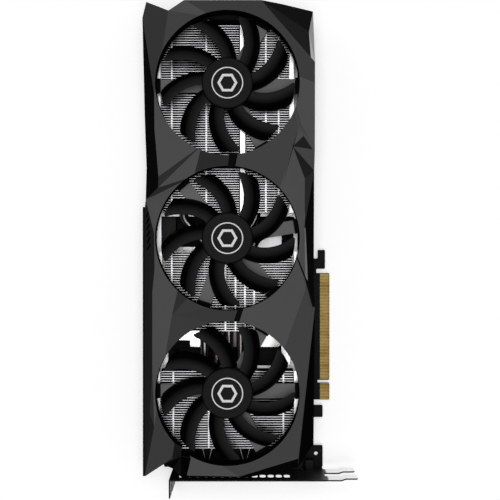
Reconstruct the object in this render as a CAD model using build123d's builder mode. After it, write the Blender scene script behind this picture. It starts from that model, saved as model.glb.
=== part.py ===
from build123d import *
import os
from math import cos, radians, sin

# Graphics card lying on its backplate: X runs towards the slot edge, Y towards the tail,
# Z up out of the fans. All sizes in millimetres.

# ---- driving dimensions -------------------------------------------------------------------
FAN_X = -14.3
FAN_YS = (105.7, 7.5, -90.7)
OPENING_R = 45.7
BLADE_TIP_R = 42.7
HUB_R = 16.3
BLADE_COUNT = 9
ARM_TURNS = (180, 130, 180)

BACKPLATE_T = 1.5
PCB_Z = 3.0
PCB_T = 1.6
FIN_Z = 11.0
FIN_TOP = 26.2
FRAME_Z = 28.0
FRAME_T = 2.0
ROTOR_Z = 31.0
CUP_TOP = 41.0
CROWN = 43.0
SKIRT_Z = 12.0
SHELL_T = 2.2
TRIM_T = 1.5

LEFT = -68.8
RIGHT = 41.0
TAIL = 157.8
BRACKET_Y = -146.9
BRACKET_T = 0.9

pcb_top = PCB_Z + PCB_T
fan_centres = [(FAN_X, y) for y in FAN_YS]
MIN_Z = (Align.CENTER, Align.CENTER, Align.MIN)


def write(piece, name):
    """Label a finished sub-part and write it under its node's name."""
    piece.part.label = name
    export_step(piece.part, f"parts/{name}.step")


def block(low, high):
    """Plain box between two opposite corners, as a part of its own."""
    size = [b - a for a, b in zip(low, high)]
    with BuildPart(Plane(origin=low)) as made:
        Box(*size, align=(Align.MIN, Align.MIN, Align.MIN))
    return made.part


os.makedirs("parts", exist_ok=True)

# ---- shroud: corner points of its flat facets ---------------------------------------------
# Outer rim points, anticlockwise from the spike at the tail's left corner.
rim = {
    "spike": (-66.0, TAIL, 38.0),
    "corner": (LEFT, 148.6, 35.0),
    "flank_a": (-67.9, 86.0, 30.0),
    "flank_b": (-66.7, 53.0, 30.0),
    "flank_c": (-66.5, 32.0, 36.5),
    "trim_tail": (LEFT + TRIM_T, 27.6, 34.0),
    "trim_io": (LEFT + TRIM_T, -145.2, 33.0),
    "heel": (-55.3, -136.6, 37.0),
    "lip_a": (-50.0, -141.5, 28.0),
    "lip_b": (-44.0, -145.6, 34.0),
    "lip_c": (-0.8, -145.6, 34.0),
    "lip_d": (31.0, -140.0, 30.0),
    "toe": (RIGHT, -125.0, 30.0),
    "knee": (RIGHT, -36.9, 41.0),
    "waist": (RIGHT, -20.0, 31.0),
    "notch_low": (RIGHT, 50.6, 36.0),
    "notch_high": (RIGHT, 63.3, 41.6),
    "side_b": (RIGHT, 105.6, CROWN),
    "side_a": (RIGHT, 118.6, CROWN),
    "ear": (40.4, 153.0, 33.0),
    "brow": (20.3, 156.7, 37.0),
    "peak_b": (7.0, 157.6, CROWN),
    "peak_a": (-41.5, 157.6, CROWN),
    "valley": (-51.6, 151.4, 41.6),
}
# Creases on the roof, outside the three openings.
crease = {
    "left_a": (-60.5, 98.5, 42.0),
    "left_b": (-60.3, 76.5, 42.0),
    "left_c": (-57.8, 46.4, 42.2),
    "left_d": (-58.2, 39.5, 40.6),
    "left_e": (-60.6, 10.7, 41.8),
    "left_f": (-60.3, -12.0, 41.8),
    "left_g": (-61.8, -27.0, 41.0),
    "left_h": (-61.8, -75.0, 41.0),
    "left_i": (-63.5, -103.0, 40.0),
    "left_j": (-60.5, -111.8, 42.0),
    "left_k": (-67.0, -144.0, 36.5),
    "dart": (-49.3, -41.0, 41.2),
    "step": (-47.7, -122.1, 42.0),
    "step_low": (-49.3, -131.8, 40.5),
    "chin_c": (-37.3, -131.4, 42.2),
    "chin_b": (-39.9, -142.6, 41.2),
    "chin_a": (-6.8, -143.3, 41.2),
    "jaw": (30.5, -131.9, 41.2),
    "sump": (-44.5, -133.0, 31.0),
    "brace": (35.3, -24.4, 42.4),
    "pinch": (31.6, -6.5, 42.6),
    "cheek": (34.5, 15.4, 42.4),
    "chip_d": (34.7, 45.3, 40.6),
    "chip_c": (34.5, 72.7, 42.4),
    "chip_b": (27.0, 65.4, CROWN),
    "chip_a": (31.2, 78.3, CROWN),
    "ridge": (38.4, 121.4, CROWN),
    "ear_in": (37.6, 139.2, 36.5),
}
# Points inside the openings, where creases run out over the edge. They are cut away.
inner = {
    "a1": (-31.3, 143.8, 42.7),
    "a2": (-22.4, 146.5, CROWN),
    "a3": (-55.7, 118.5, 42.6),
    "a4": (26.0, 111.3, CROWN),
    "a5": (26.9, 95.1, CROWN),
    "a6": (-30.5, 65.9, CROWN),
    "a7": (-9.8, 64.0, 41.6),
    "a8": (-9.8, 64.0, CROWN),
    "b1": (-35.3, 46.6, 42.9),
    "b2": (-12.0, 48.0, 41.6),
    "b3": (-12.0, 48.0, CROWN),
    "b4": (17.2, 33.7, CROWN),
    "b5": (-57.0, 7.5, 42.6),
    "b6": (-44.5, -20.5, 42.4),
    "b7": (-37.5, -28.5, CROWN),
    "b8": (-6.0, -33.0, CROWN),
    "b9": (26.0, -3.0, CROWN),
    "b10": (27.0, 8.0, CROWN),
    "c1": (-54.4, -72.0, 42.6),
    "c2": (-11.0, -48.5, CROWN),
    "c3": (20.7, -64.8, CROWN),
    "c4": (27.0, -90.0, CROWN),
    "c5": (18.0, -118.0, CROWN),
    "c6": (-33.0, -126.5, CROWN),
    "c7": (-43.0, -119.0, 38.0),
    "c8": (-48.0, -113.0, 42.6),
}
points = {**rim, **crease, **inner}

# Each facet names its corners. The first corner sees all the others.
facets = [
    "valley spike corner left_a a3",
    "valley a3 a1",
    "valley a1 a2 peak_a",
    "a2 a4 side_b side_a ridge peak_b peak_a",
    "peak_b ridge ear_in ear brow",
    "side_a ear ear_in ridge",
    "chip_a a5 a4 side_b notch_high chip_c",
    "chip_b b4 b3 a8 a5 chip_a",
    "chip_b chip_a chip_c",
    "chip_b chip_c notch_high notch_low chip_d",
    "b10 b9 pinch cheek chip_d chip_b b4",
    "cheek chip_d notch_low waist pinch",
    "pinch waist knee brace",
    "a6 a3 left_a left_b left_c",
    "a6 left_c left_d",
    "b1 a6 left_d flank_c left_e b5",
    "a6 b1 b2 a7",
    "left_b left_a corner flank_a",
    "left_c left_b flank_a flank_b",
    "left_d left_c flank_b flank_c",
    "b6 b5 left_e left_f",
    "b6 left_f left_g dart",
    "c1 dart left_g left_h",
    "b7 b6 dart",
    "dart c1 c2 b8 b7",
    "brace c3 c2 b8 b9 pinch",
    "c3 brace knee jaw c5 c4",
    "knee toe lip_d jaw",
    "jaw lip_d lip_c chin_a",
    "chin_a lip_c lip_b chin_b",
    "c6 c5 jaw chin_a chin_b chin_c",
    "left_j c1 left_h left_i",
    "left_j c8 c1",
    "step c8 left_j left_k step_low",
    "step_low left_k trim_io heel",
    "left_j left_i left_k",
    "sump c7 step step_low heel lip_a lip_b chin_b chin_c",
    "c7 c8 step",
    "c7 chin_c c6",
]
# Facets that the side trim covers. The shroud lies lower there by the trim's thickness.
trim_facets = [
    "left_e flank_c trim_tail",
    "left_f left_e trim_tail",
    "left_g left_f trim_tail",
    "left_h left_g trim_tail trim_io",
    "left_i left_h trim_io",
    "left_k left_i trim_io",
]


def triangles(names):
    """Split one facet into triangles that share its first corner."""
    corner = [Vector(*points[name]) for name in names.split()]
    return [(corner[0], corner[i], corner[i + 1]) for i in range(1, len(corner) - 1)]


def column(triangle, floor, drop=0.0):
    """Upright prism under one roof triangle, from the floor to the roof less the drop."""
    a, b, c = [corner - Vector(0, 0, drop) for corner in triangle]
    normal = (b - a).cross(c - a)
    if normal.Z < 0:
        normal = -normal
    with BuildPart() as made:
        with BuildSketch(Plane.XY.offset(floor)):
            Polygon(*[(p.X, p.Y) for p in (a, b, c)], align=None)
        extrude(amount=2 * CROWN)
        split(bisect_by=Plane(origin=a, z_dir=normal), keep=Keep.BOTTOM)
    return made.part


def roofed(names_list, floor, drop=0.0):
    """Solid under a set of facets."""
    pieces = [column(t, floor, drop) for names in names_list for t in triangles(names)]
    with BuildPart() as made:
        add(pieces)
    return made.part


# ---- fan screws and screw posts -----------------------------------------------------------
POST_REACH = 48.2
POST_R = 2.3
POST_HOLE_R = 0.95
post_spots = [
    (x + POST_REACH * cos(radians(turn + step)), y + POST_REACH * sin(radians(turn + step)))
    for (x, y), turn in zip(fan_centres, ARM_TURNS)
    for step in (0, 120, 240)
]

# ---- shroud -------------------------------------------------------------------------------
COLLAR_R = OPENING_R + 1.5
COLLAR_Z = ROTOR_Z
SLOT_FLOOR = 39.9
SLOT_FLOOR_T = 2.0
SCREW_HOLE_TOP = 36.0
GROOVE_W = 2.0
GROOVE_DEPTH = 1.3
TAIL_SKIRT_Z = BACKPLATE_T + 0.1
TAIL_SKIRT_Y = 149.0
slot_tail = [(-13.0, 61.5), (-7.6, 61.5), (-9.3, 52.0), (-14.1, 52.0)]
slot_io = [(-7.4, -36.0), (-3.8, -36.0), (-6.8, -45.5), (-10.4, -45.5)]
slot_floors = [
    block((-18.0, 49.0, SLOT_FLOOR - SLOT_FLOOR_T), (-4.0, 64.0, SLOT_FLOOR)),
    block((-14.0, -49.0, SLOT_FLOOR - SLOT_FLOOR_T), (0.0, -34.0, SLOT_FLOOR)),
]
groove_line = [(27.6, 92.0), (31.2, 78.3), (34.5, 72.7), (RIGHT + 1, 62.0)]
socket_window = block((LEFT - 1, 0.0, SKIRT_Z - 1), (-60.0, 24.6, 17.0))

rim_outline = [corner[:2] for corner in rim.values()]

with BuildPart() as roof_solid:
    add(roofed(facets, SKIRT_Z))
    add(roofed(trim_facets, SKIRT_Z, TRIM_T))

with BuildPart() as lowered_roof:
    add(roofed(facets, SKIRT_Z - 1, SHELL_T))
    add(roofed(trim_facets, SKIRT_Z - 1, SHELL_T + TRIM_T))

with BuildPart() as tail_skirt:
    with BuildSketch(Plane.XY.offset(TAIL_SKIRT_Z)):
        Polygon(*rim_outline, align=None)
        offset(amount=-SHELL_T, kind=Kind.INTERSECTION, mode=Mode.SUBTRACT)
    extrude(amount=SKIRT_Z - TAIL_SKIRT_Z)
    add(block((LEFT - 1, TAIL_SKIRT_Y, 0), (RIGHT + 1, TAIL + 1, CROWN)), mode=Mode.INTERSECT)

with BuildPart() as shroud_hollow:
    with BuildSketch(Plane.XY.offset(SKIRT_Z - 1)):
        Polygon(*rim_outline, align=None)
        offset(amount=-SHELL_T, kind=Kind.INTERSECTION)
    extrude(amount=CROWN)
    add(lowered_roof.part, mode=Mode.INTERSECT)
    with Locations(*[(x, y, COLLAR_Z) for x, y in fan_centres]):
        Cylinder(COLLAR_R, CROWN, align=MIN_Z, mode=Mode.SUBTRACT)
    with Locations(*[(x, y, FRAME_Z + FRAME_T) for x, y in post_spots]):
        Cylinder(POST_R, CROWN, align=MIN_Z, mode=Mode.SUBTRACT)

with BuildPart() as shroud:
    add(roof_solid.part)
    add(shroud_hollow.part, mode=Mode.SUBTRACT)
    add(tail_skirt.part)
    add(slot_floors)
    with Locations(*[(x, y, 0) for x, y in fan_centres]):
        Cylinder(OPENING_R, 3 * CROWN, mode=Mode.SUBTRACT)
    with Locations(*[(x, y, 0) for x, y in post_spots]):
        Cylinder(POST_HOLE_R, 2 * SCREW_HOLE_TOP, mode=Mode.SUBTRACT)
    with BuildSketch(Plane.XY.offset(SLOT_FLOOR)):
        Polygon(*slot_tail, align=None)
        Polygon(*slot_io, align=None)
    extrude(amount=CROWN, mode=Mode.SUBTRACT)
    with BuildSketch(Plane.XY.offset(CROWN - GROOVE_DEPTH)):
        with BuildLine():
            Polyline(*groove_line)
        trace(line_width=GROOVE_W)
    extrude(amount=CROWN, mode=Mode.SUBTRACT)
    add(socket_window, mode=Mode.SUBTRACT)
write(shroud, "shroud")

# ---- side trim: a lip over the shroud's lower left flank, with slanted vents ----------------
VENT_COUNT = 6
VENT_PITCH = 4.2
TRIM_TOP_TAIL = 33.4
TRIM_TOP_IO = 32.4
trim_ends = (rim["trim_tail"][1], rim["trim_io"][1])

with BuildPart() as shroud_side_trim:
    with BuildSketch(Plane.YZ.offset(LEFT)):
        Polygon(
            (trim_ends[0], SKIRT_Z), (trim_ends[0], TRIM_TOP_TAIL),
            (trim_ends[1], TRIM_TOP_IO), (trim_ends[1], SKIRT_Z), align=None,
        )
    extrude(amount=TRIM_T)
    add(roofed(trim_facets, SKIRT_Z))
    add(roofed(trim_facets, SKIRT_Z, TRIM_T), mode=Mode.SUBTRACT)
    add(socket_window, mode=Mode.SUBTRACT)
    with BuildSketch(Plane.XY.offset(SKIRT_Z)):
        for i in range(VENT_COUNT):
            with Locations((-65.2 + 0.15 * i, 23.0 - i * VENT_PITCH)):
                Rectangle(4.6, 1.3, rotation=62)
    extrude(amount=CROWN, mode=Mode.SUBTRACT)
write(shroud_side_trim, "shroud_side_trim")

# ---- fan rotor: cup with nine swept blades ---------------------------------------------------
BLADE_SWEEP = 28.0
BLADE_CHORD = 13.2
BLADE_PITCH = 40.0
BLADE_T = 1.5
FIRST_TIP_ANGLE = -7.0
CUP_WALL = 1.4
blade_mid_z = (ROTOR_Z + CUP_TOP) / 2


def blade(first_angle):
    """One swept blade, lofted through sections that stand across the radius."""
    with BuildPart() as made:
        for share in (0.0, 0.35, 0.7, 1.0):
            radius = HUB_R - 0.7 + share * (BLADE_TIP_R - HUB_R + 0.7)
            angle = radians(first_angle + BLADE_SWEEP * share ** 1.15)
            tilt = radians(BLADE_PITCH - 6 * share)
            chord = BLADE_CHORD * (0.92 + 0.12 * share)
            across = Vector(-sin(angle) * cos(tilt), cos(angle) * cos(tilt), sin(tilt))
            middle = (radius * cos(angle), radius * sin(angle), blade_mid_z)
            station = Plane(middle, x_dir=across, z_dir=(cos(angle), sin(angle), 0))
            with BuildSketch(station):
                RectangleRounded(chord, BLADE_T, 0.45 * BLADE_T)
        loft()
    return made.part


blades = [blade(FIRST_TIP_ANGLE - BLADE_SWEEP + i * 360 / BLADE_COUNT) for i in range(BLADE_COUNT)]

with BuildPart() as rotor_shape:
    with BuildSketch(Plane.XY.offset(ROTOR_Z)):
        Circle(HUB_R)
    extrude(amount=CUP_TOP - ROTOR_Z)
    fillet(faces().sort_by(Axis.Z)[-1].edges(), 0.7)
    add(blades)
    with Locations((0, 0, ROTOR_Z - 5)):
        Cylinder(HUB_R - CUP_WALL, CUP_TOP - CUP_WALL - ROTOR_Z + 5, align=MIN_Z, mode=Mode.SUBTRACT)

# ---- the other fan pieces, made once about the fan's own axis --------------------------------
SHAFT_R = 1.5
BEARING_R = 3.0
BEARING_GAP = 0.04
BOSS_R = 4.0
STATOR_R = 11.8
MAGNET_R = HUB_R - CUP_WALL - 0.02
MAGNET_T = 1.8
MAGNET_LIFT = 1.0
STATOR_LIFT = 1.5
STATOR_H = 4.5
STATOR_SLOT = (6.0, 1.6)
CAP_T = 0.9
CAP_MARGIN = 0.9
END_GAP = 0.3
ARM_W = 8.4
CABLE_ARM_W = 9.2
CABLE_ARM_L = 45.0
PAD_R = 2.4
COLLAR_BASE_R = 6.0
FRAME_HOLE_R = 1.0
BEARING_FLOOR = 29.2
BOSS_TOP = 38.0
cup_underside = CUP_TOP - CUP_WALL

with BuildPart() as hub_cap_shape:
    with BuildSketch(Plane.XY.offset(CUP_TOP)):
        Circle(HUB_R - CAP_MARGIN)
    extrude(amount=CAP_T)
    chamfer(faces().sort_by(Axis.Z)[-1].edges(), CAP_T / 3)

with BuildPart() as shaft_shape:
    with BuildSketch(Plane.XY.offset(BEARING_FLOOR + END_GAP)):
        Circle(SHAFT_R)
    extrude(amount=cup_underside - BEARING_FLOOR - END_GAP)
    chamfer(faces().sort_by(Axis.Z)[0].edges(), SHAFT_R / 5)

with BuildPart() as magnet_shape:
    with BuildSketch(Plane.XY.offset(ROTOR_Z + MAGNET_LIFT)):
        Circle(MAGNET_R)
        Circle(MAGNET_R - MAGNET_T, mode=Mode.SUBTRACT)
    extrude(amount=cup_underside - ROTOR_Z - MAGNET_LIFT)

with BuildPart() as bearing_shape:
    with BuildSketch(Plane.XY.offset(BEARING_FLOOR)):
        Circle(BEARING_R)
        Circle(SHAFT_R + BEARING_GAP, mode=Mode.SUBTRACT)
    extrude(amount=BOSS_TOP - 0.2 - BEARING_FLOOR)

with BuildPart() as stator_shape:
    with BuildSketch(Plane.XY.offset(ROTOR_Z + STATOR_LIFT)):
        Circle(STATOR_R)
        Circle(BOSS_R + 0.02, mode=Mode.SUBTRACT)
        with PolarLocations(STATOR_R - 2.6, BLADE_COUNT):
            Rectangle(*STATOR_SLOT, mode=Mode.SUBTRACT)
    extrude(amount=STATOR_H)


def fan_frame(turn):
    """Centre disc with three arms and a wider cable arm, about the fan's own axis."""
    with BuildPart() as made:
        with BuildSketch(Plane.XY.offset(FRAME_Z)):
            Circle(HUB_R + 0.4)
            for step in (0, 120, 240):
                reach = turn + step
                with BuildLine(mode=Mode.PRIVATE) as spoke:
                    Line((0, 0), (POST_REACH * cos(radians(reach)), POST_REACH * sin(radians(reach))))
                trace(spoke.line, line_width=ARM_W)
                with Locations((POST_REACH * cos(radians(reach)), POST_REACH * sin(radians(reach)))):
                    Circle(PAD_R)
            back = radians(turn + 180)
            with BuildLine(mode=Mode.PRIVATE) as cable:
                Line((0, 0), (CABLE_ARM_L * cos(back), CABLE_ARM_L * sin(back)))
            trace(cable.line, line_width=CABLE_ARM_W)
        extrude(amount=FRAME_T)
        with BuildSketch(Plane.XY.offset(FRAME_Z)):
            Circle(POST_REACH + PAD_R)
        extrude(amount=FRAME_T, mode=Mode.INTERSECT)
        with BuildSketch(Plane.XY.offset(FRAME_Z + FRAME_T)):
            Circle(COLLAR_BASE_R)
        extrude(amount=ROTOR_Z + STATOR_LIFT - FRAME_Z - FRAME_T)
        with BuildSketch(Plane.XY.offset(ROTOR_Z)):
            Circle(BOSS_R)
        extrude(amount=BOSS_TOP - ROTOR_Z)
        with Locations((0, 0, BEARING_FLOOR)):
            Cylinder(BEARING_R, 20, align=MIN_Z, mode=Mode.SUBTRACT)
        with PolarLocations(POST_REACH, 3, start_angle=turn):
            Cylinder(FRAME_HOLE_R, 4 * CROWN, mode=Mode.SUBTRACT)
    return made.part


def placed(shape, spot):
    """Copy of a fan piece moved to one fan's centre."""
    with BuildPart() as made:
        with Locations((*spot, 0)):
            add(shape)
    return made


for number, (spot, turn) in enumerate(zip(fan_centres, ARM_TURNS), start=1):
    write(placed(rotor_shape.part, spot), f"fan_{number}_rotor")
    write(placed(hub_cap_shape.part, spot), f"fan_{number}_hub_cap")
    write(placed(shaft_shape.part, spot), f"fan_{number}_shaft")
    write(placed(magnet_shape.part, spot), f"fan_{number}_magnet")
    write(placed(bearing_shape.part, spot), f"fan_{number}_bearing")
    write(placed(stator_shape.part, spot), f"fan_{number}_stator")
    write(placed(fan_frame(turn), spot), f"fan_{number}_frame")

FAN_SCREW_HEAD = (1.9, 1.4)
FAN_SCREW_SHANK = (0.9, 7.0)
with BuildPart() as fan_screws:
    for x, y in post_spots:
        with Locations((x, y, FRAME_Z - FAN_SCREW_HEAD[1])):
            Cylinder(*FAN_SCREW_HEAD, align=MIN_Z)
        with Locations((x, y, FRAME_Z)):
            Cylinder(*FAN_SCREW_SHANK, align=MIN_Z)
write(fan_screws, "fan_screws")

# ---- heat pipes -------------------------------------------------------------------------------
PIPE_R = 3.0
PIPE_Z = FIN_Z + PIPE_R
PIPE_END_IO = -126.0
PIPE_END_TAIL = 145.0
cold_xs = (-30.0, -22.0, -14.0, -6.0, 2.0)
tail_xs = (-44.0, -29.0, -14.5, 4.0, 16.5)

for number, (cold_x, tail_x) in enumerate(zip(cold_xs, tail_xs), start=1):
    with BuildPart() as heat_pipe:
        with BuildLine() as route:
            FilletPolyline(
                (cold_x, PIPE_END_IO, PIPE_Z),
                (cold_x, 4.0, PIPE_Z),
                (tail_x, 21.0, PIPE_Z),
                (tail_x, PIPE_END_TAIL, PIPE_Z),
                radius=9.0,
            )
        with BuildSketch(Plane(route.line @ 0, z_dir=route.line % 0)):
            Circle(PIPE_R)
        sweep()
    write(heat_pipe, f"heat_pipe_{number}")

FLAT_PIPE_X = (-7.1, -2.5)
FLAT_PIPE_Z = (23.0, 25.8)
FLAT_PIPE_Y = (25.0, 146.0)
with BuildPart() as heat_pipe_flat:
    with BuildSketch(Plane.XZ.offset(-FLAT_PIPE_Y[0])):
        with Locations((sum(FLAT_PIPE_X) / 2, sum(FLAT_PIPE_Z) / 2)):
            RectangleRounded(FLAT_PIPE_X[1] - FLAT_PIPE_X[0], FLAT_PIPE_Z[1] - FLAT_PIPE_Z[0], 0.9)
    extrude(amount=FLAT_PIPE_Y[0] - FLAT_PIPE_Y[1])
write(heat_pipe_flat, "heat_pipe_flat")

# ---- fin stacks -------------------------------------------------------------------------------
FIN_PITCH = 1.55
FIN_T = 0.4
TAB_W = 1.0
TAB_Z = (25.2, 25.8)


def fin_stack(low, high, pipe_xs, tab_xs, channel):
    """Comb of thin fins, tied by the rows of tabs along their top edges."""
    (x0, y0), (x1, y1) = low, high
    count = int((y1 - y0 - FIN_T) / FIN_PITCH) + 1
    with BuildPart() as fin:
        with BuildSketch(Plane.XZ.offset(-y0)):
            with Locations(((x0 + x1) / 2, (FIN_Z + FIN_TOP) / 2)):
                Rectangle(x1 - x0, FIN_TOP - FIN_Z)
            with Locations(*[(x, PIPE_Z) for x in pipe_xs]):
                Circle(PIPE_R + 0.05, mode=Mode.SUBTRACT)
            if channel:
                with Locations((sum(channel) / 2, FLAT_PIPE_Z[0] + 5)):
                    Rectangle(channel[1] - channel[0], 10.0, mode=Mode.SUBTRACT)
        extrude(amount=-FIN_T)
    with BuildPart() as made:
        with Locations(*[(0, i * FIN_PITCH, 0) for i in range(count)]):
            add(fin.part)
        with BuildSketch(Plane.XZ.offset(-y0)):
            with Locations(*[(x, sum(TAB_Z) / 2) for x in tab_xs]):
                Rectangle(TAB_W, TAB_Z[1] - TAB_Z[0])
        extrude(amount=-((count - 1) * FIN_PITCH + FIN_T))
    return made


write(fin_stack((-57.8, 24.4), (25.4, 147.0), tail_xs, (-50.8, -28.4, 10.3, 18.6), FLAT_PIPE_X),
      "fin_stack_tail")
write(fin_stack((-56.8, -52.6), (28.3, 0.2), cold_xs, (-50.8, -16.0, -9.4, -3.3, 2.7), None),
      "fin_stack_middle")
write(fin_stack((-58.2, -128.7), (28.4, -78.3), cold_xs, (-49.8, -26.8, 21.7), None),
      "fin_stack_io")

# ---- cooler base: cold plate with posts, and the sheet frame that carries the fins ------------
GPU_X, GPU_Y = -14.0, -34.0
HOLE_SPAN = 46.0
COLD_LOW, COLD_HIGH = (-47.0, -64.5), (20.7, -1.0)
COLD_NOTCH = (7.2, 4.5)
COLD_GAP = 0.5
LEG_R, LEG_HOLE_R = 2.6, 1.25
SHEET_HOLE_R = 1.1
DIE_TOP = 7.0
FRAME_SHEET_T = 1.2
FRAME_LEFT, FRAME_RIGHT = -60.6, 31.6
FRAME_IO, FRAME_TAIL = -129.5, 146.8
frame_bottom = FIN_Z - FRAME_SHEET_T
frame_posts = [(-53.5, -126.0), (26.5, -126.0), (-53.5, -82.0), (26.5, -81.0)]
tail_posts = [(-56.5, 30.0), (25.5, 30.0), (-56.5, 85.0), (25.5, 85.0), (-56.5, 142.0), (25.5, 142.0)]
cold_middle = tuple((a + b) / 2 for a, b in zip(COLD_LOW, COLD_HIGH))
cold_width = COLD_HIGH[0] - COLD_LOW[0]
cold_length = COLD_HIGH[1] - COLD_LOW[1]
# Windows of the frame, as centre x, centre y, width, length.
frame_windows = [
    (-13.5, -67.0, 82.0, 20.0), (-30.0, 12.2, 66.0, 20.4), (16.2, 18.4, 27.0, 8.0), (25.0, 9.4, 8.0, 14.8),
    (-16.0, 50.0, 74.0, 24.0), (-16.0, 80.0, 74.0, 24.0), (-16.0, 110.0, 74.0, 24.0),
]

with BuildPart() as cold_plate:
    with BuildSketch(Plane((*cold_middle, DIE_TOP))):
        RectangleRounded(cold_width, cold_length, 3.0)
        with Locations((-cold_width / 2, -cold_length / 2)):
            Rectangle(*COLD_NOTCH, align=Align.MIN, mode=Mode.SUBTRACT)
    extrude(amount=FIN_Z - DIE_TOP)
    with BuildSketch(Plane((GPU_X, GPU_Y, pcb_top))):
        with GridLocations(HOLE_SPAN, HOLE_SPAN, 2, 2):
            Circle(LEG_R)
    extrude(amount=DIE_TOP - pcb_top)
    with Locations((GPU_X, GPU_Y, pcb_top)):
        with GridLocations(HOLE_SPAN, HOLE_SPAN, 2, 2):
            Cylinder(LEG_HOLE_R, 4.0, align=MIN_Z, mode=Mode.SUBTRACT)
write(cold_plate, "cold_plate")

# A raised strap carries the frame's left edge over the supply socket.
STRAP_X = (-62.6, -58.2)
STRAP_Y = (-8.0, 29.0)
STRAP_Z = (19.4, 20.4)
STRAP_LEG = 1.0

with BuildPart() as cooler_frame:
    with BuildSketch(Plane.XY.offset(frame_bottom)):
        Polygon(
            (FRAME_LEFT, FRAME_IO), (FRAME_RIGHT, FRAME_IO),
            (FRAME_RIGHT, FRAME_TAIL), (FRAME_LEFT, FRAME_TAIL), align=None,
        )
        with Locations(cold_middle):
            RectangleRounded(cold_width + 2 * COLD_GAP, cold_length + 2 * COLD_GAP, 3.2, mode=Mode.SUBTRACT)
        for x, y, width, length in frame_windows:
            with Locations((x, y)):
                RectangleRounded(width, length, 2.0, mode=Mode.SUBTRACT)
        with Locations(*frame_posts, *tail_posts):
            Circle(SHEET_HOLE_R, mode=Mode.SUBTRACT)
    extrude(amount=FRAME_SHEET_T)
    add(block((STRAP_X[0], STRAP_Y[0], STRAP_Z[0]), (STRAP_X[1], STRAP_Y[1], STRAP_Z[1])))
    for foot_y in (STRAP_Y[0], STRAP_Y[1] - STRAP_LEG):
        add(block((FRAME_LEFT, foot_y, frame_bottom), (STRAP_X[1], foot_y + STRAP_LEG, STRAP_Z[1])))
write(cooler_frame, "cooler_frame")


def posts(spots, floor, height, outer, hole):
    """Group of round spacers with a hole through each."""
    with BuildPart() as made:
        with BuildSketch(Plane.XY.offset(floor)):
            with Locations(*spots):
                Circle(outer)
                Circle(hole, mode=Mode.SUBTRACT)
        extrude(amount=height)
    return made.part


with BuildPart() as frame_spacers:
    add(posts(frame_posts, pcb_top, frame_bottom - pcb_top, 2.4, SHEET_HOLE_R))
    add(posts(tail_posts, BACKPLATE_T, frame_bottom - BACKPLATE_T, 2.8, SHEET_HOLE_R))
write(frame_spacers, "frame_spacers")

BOARD_HOLE_R = 1.3
board_posts = frame_posts + [(-53.5, 20.0), (37.0, -8.0), (37.0, -100.0), (-53.5, -40.0)]

with BuildPart() as board_spacers:
    add(posts(board_posts, BACKPLATE_T, PCB_Z - BACKPLATE_T, 2 * BOARD_HOLE_R, BOARD_HOLE_R))
write(board_spacers, "board_spacers")

# ---- circuit board ----------------------------------------------------------------------------
BOARD_LEFT, BOARD_EDGE, FINGER_EDGE = -57.8, 42.6, 53.4
BOARD_END = 24.0
KEY_Y = -88.4
SUPPORT_HOLE = (44.4, -137.0)
SUPPORT_HOLE_R = 1.3
board_outline = [
    (BOARD_LEFT, BRACKET_Y + BRACKET_T), (48.9, BRACKET_Y + BRACKET_T), (48.9, -131.5),
    (BOARD_EDGE, -131.5), (BOARD_EDGE, -112.5), (48.9, -112.5), (48.9, -104.4),
    (BOARD_EDGE, -104.4), (BOARD_EDGE, -100.7), (FINGER_EDGE, -100.7),
    (FINGER_EDGE, KEY_Y - 0.95), (45.4, KEY_Y - 0.95), (45.4, KEY_Y + 0.95),
    (FINGER_EDGE, KEY_Y + 0.95), (FINGER_EDGE, -15.5), (44.6, -15.5), (44.6, -12.7),
    (50.5, -12.7), (50.5, 0.1), (45.6, 0.1), (45.6, -5.7), (BOARD_EDGE, -5.7),
    (BOARD_EDGE, 2.0), (5.0, 2.0), (5.0, BOARD_END), (BOARD_LEFT, BOARD_END),
]

with BuildPart() as pcb:
    with BuildSketch(Plane.XY.offset(PCB_Z)):
        Polygon(*board_outline, align=None)
        fillet(vertices(), 0.8)
        with Locations((GPU_X, GPU_Y)):
            with GridLocations(HOLE_SPAN, HOLE_SPAN, 2, 2):
                Circle(1.6, mode=Mode.SUBTRACT)
        with Locations(*board_posts):
            Circle(BOARD_HOLE_R, mode=Mode.SUBTRACT)
        with Locations(SUPPORT_HOLE):
            Circle(SUPPORT_HOLE_R, mode=Mode.SUBTRACT)
    extrude(amount=PCB_T)
write(pcb, "pcb")

CONTACT_PITCH = 1.0
CONTACT_T = 0.1
CONTACT_W = 0.7
CONTACT_XS = (47.1, FINGER_EDGE - 0.4)
contact_ys = [-16.3 - i * CONTACT_PITCH for i in range(71)]
contact_ys += [-90.0 - i * CONTACT_PITCH for i in range(11)]
with BuildPart() as edge_contacts:
    for floor in (pcb_top, PCB_Z - CONTACT_T):
        with BuildSketch(Plane.XY.offset(floor)):
            with Locations(*[(sum(CONTACT_XS) / 2, y) for y in contact_ys]):
                Rectangle(CONTACT_XS[1] - CONTACT_XS[0], CONTACT_W)
        extrude(amount=CONTACT_T)
write(edge_contacts, "edge_contacts")


def board_blocks(spots, width, length, floor, height):
    """Group of equal rectangular pieces standing on one level."""
    with BuildPart() as made:
        with BuildSketch(Plane.XY.offset(floor)):
            with Locations(*spots):
                Rectangle(width, length)
        extrude(amount=height)
    return made


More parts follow.
